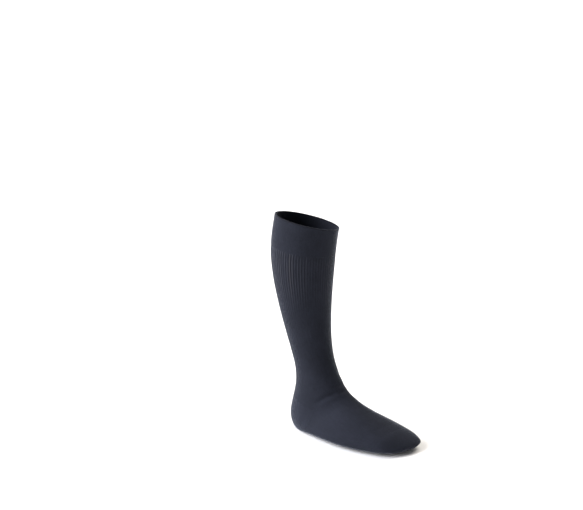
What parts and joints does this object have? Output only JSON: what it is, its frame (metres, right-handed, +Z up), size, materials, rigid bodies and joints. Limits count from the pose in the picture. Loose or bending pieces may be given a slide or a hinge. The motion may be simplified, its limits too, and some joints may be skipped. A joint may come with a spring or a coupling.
{
  "type": "compression stocking",
  "caption": "Hollow knee-high knitted stocking in its worn form, with a plain top band, fine ribs down the leg, a heel pocket and a closed toe.",
  "frame": {"origin": "middle of the rim, where the leg fills the stocking and holds it up", "axes": "+Z up along the leg, +X towards the toes, +Y towards the other leg; the sole lies level, 381 mm below the origin"},
  "size_m": [0.2782, 0.1084, 0.393],
  "materials": {
    "welt_knit": "matt, smooth, doubled knit",
    "ribbed_knit": "matt, finely ribbed elastic knit",
    "plain_knit": "matt, smooth elastic knit",
    "dense_knit": "matt, close reinforced knit"
  },
  "bodies": {
    "root": {"top_band": "welt_knit", "leg": "ribbed_knit", "heel_pocket": "dense_knit", "foot": "plain_knit", "toe_cap": "dense_knit"}
  },
  "joints": []
}
